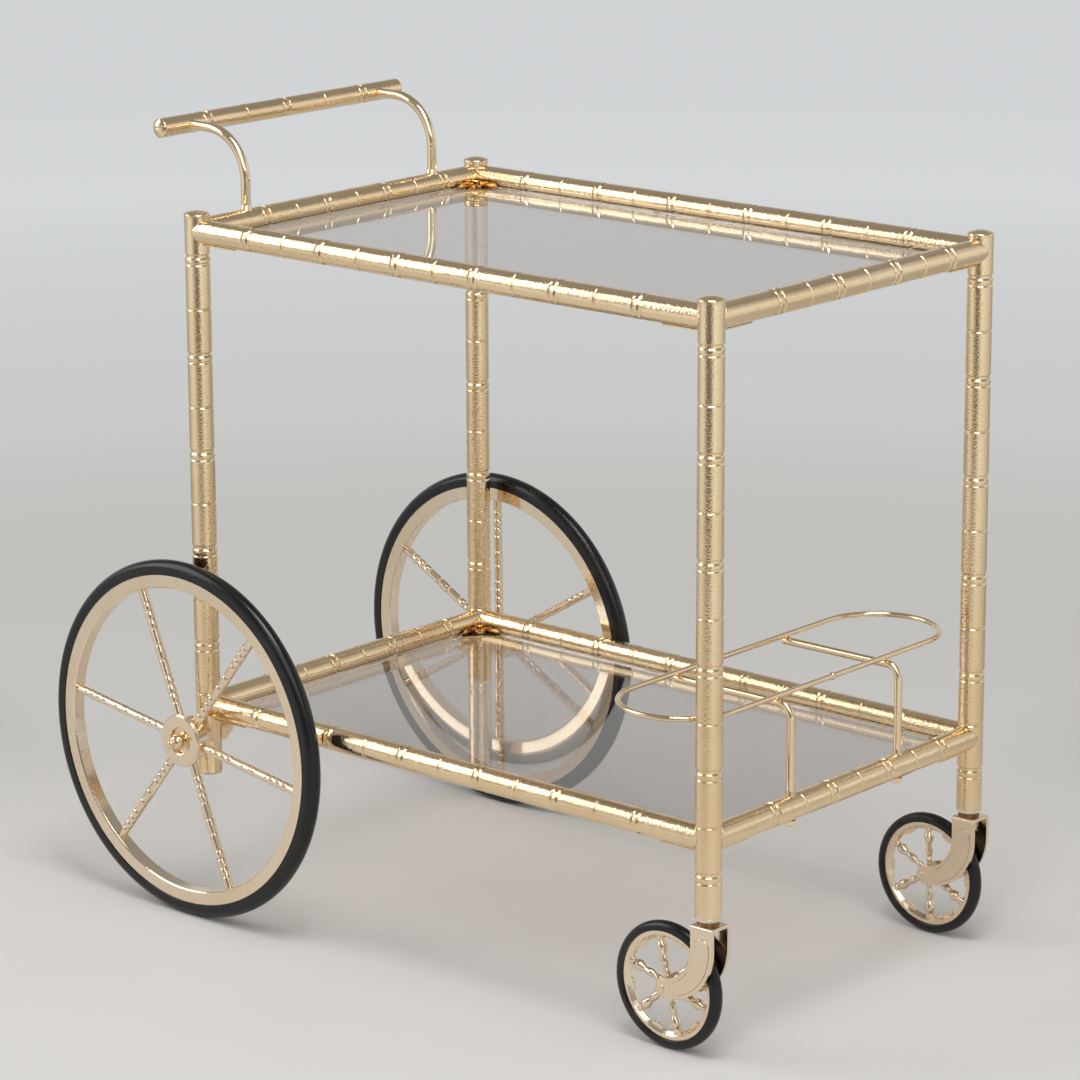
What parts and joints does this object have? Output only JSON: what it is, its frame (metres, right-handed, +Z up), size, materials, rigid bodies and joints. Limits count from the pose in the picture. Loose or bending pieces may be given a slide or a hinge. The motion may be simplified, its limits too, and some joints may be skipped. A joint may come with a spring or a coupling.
{
  "type": "dessert trolley",
  "caption": "Gilt bamboo-pattern tube trolley with smoked glass shelves, a push handle, a bottle ring, large spoked rear wheels and swivel casters in front.",
  "frame": {"origin": "on the floor, at the middle of the whole object's outline seen from above", "axes": "+X is forward, the way it is pushed, from the handle towards the casters; +Y is the trolley's left; +Z is up"},
  "size_m": [0.7749, 0.4796, 0.7285],
  "materials": {
    "gilt_tube": "satin champagne-gold plating with a fine grain",
    "gilt_bright": "polished champagne-gold plating",
    "bronze": "dark bronze, polished",
    "tyre": "smooth black rubber",
    "smoked_glass": "smoked float glass with polished edges",
    "cream_plastic": "cream plastic"
  },
  "bodies": {
    "frame": {"front_right_leg": "gilt_tube", "front_left_leg": "gilt_tube", "rear_right_leg": "gilt_tube", "rear_left_leg": "gilt_tube", "leg_caps": "gilt_tube", "upper_right_rail": "gilt_tube", "upper_left_rail": "gilt_tube", "upper_front_rail": "gilt_tube", "upper_rear_rail": "gilt_tube", "lower_right_rail": "gilt_tube", "lower_left_rail": "gilt_tube", "lower_front_rail": "gilt_tube", "lower_rear_rail": "gilt_tube", "upper_corner_plates": "gilt_tube", "lower_corner_plates": "gilt_tube", "handle_bar": "gilt_tube", "axle_collars": "gilt_tube", "axle_saddle_washers": "gilt_tube", "axle_inner_nuts": "gilt_tube", "right_stub_axle": "gilt_tube", "left_stub_axle": "gilt_tube", "hub_washers": "gilt_tube", "handle_end_caps": "gilt_bright", "right_handle_rod": "gilt_bright", "left_handle_rod": "gilt_bright", "handle_rod_nuts": "gilt_bright", "bottle_ring": "gilt_bright", "right_ring_post": "gilt_bright", "left_ring_post": "gilt_bright", "ring_post_nuts": "gilt_bright", "hub_nuts": "gilt_bright", "upper_glass": "smoked_glass", "lower_glass": "smoked_glass", "rear_leg_plugs": "cream_plastic", "right_caster_socket": "cream_plastic", "left_caster_socket": "cream_plastic"},
    "right_rear_wheel": {"right_tyre": "tyre", "right_rim": "gilt_tube", "right_spokes": "gilt_bright", "right_hub": "gilt_tube"},
    "left_rear_wheel": {"left_tyre": "tyre", "left_rim": "gilt_tube", "left_spokes": "gilt_bright", "left_hub": "gilt_tube"},
    "right_caster": {"right_caster_bearing": "bronze", "right_caster_stem": "gilt_bright", "right_caster_fork": "gilt_tube", "right_caster_pin": "gilt_bright"},
    "left_caster": {"left_caster_bearing": "bronze", "left_caster_stem": "gilt_bright", "left_caster_fork": "gilt_tube", "left_caster_pin": "gilt_bright"},
    "right_front_wheel": {"right_caster_tyre": "tyre", "right_caster_wheel": "gilt_bright"},
    "left_front_wheel": {"left_caster_tyre": "tyre", "left_caster_wheel": "gilt_bright"}
  },
  "joints": [
    {"name": "right_rear_wheel_spin", "type": "hinge", "parent": "frame", "child": "right_rear_wheel", "pos_m": [-0.219, -0.2165, 0.1685], "axis": [0, 1, 0], "continuous": true},
    {"name": "right_caster_swivel", "type": "hinge", "parent": "frame", "child": "right_caster", "pos_m": [0.373, -0.187, 0.121], "axis": [0, 0, 1], "continuous": true},
    {"name": "right_front_wheel_spin", "type": "hinge", "parent": "right_caster", "child": "right_front_wheel", "pos_m": [0.331, -0.187, 0.0565], "axis": [0, 1, 0], "continuous": true},
    {"name": "left_rear_wheel_spin", "type": "hinge", "parent": "frame", "child": "left_rear_wheel", "pos_m": [-0.219, 0.2165, 0.1685], "axis": [0, 1, 0], "continuous": true},
    {"name": "left_caster_swivel", "type": "hinge", "parent": "frame", "child": "left_caster", "pos_m": [0.373, 0.187, 0.121], "axis": [0, 0, 1], "continuous": true},
    {"name": "left_front_wheel_spin", "type": "hinge", "parent": "left_caster", "child": "left_front_wheel", "pos_m": [0.331, 0.187, 0.0565], "axis": [0, 1, 0], "continuous": true}
  ]
}
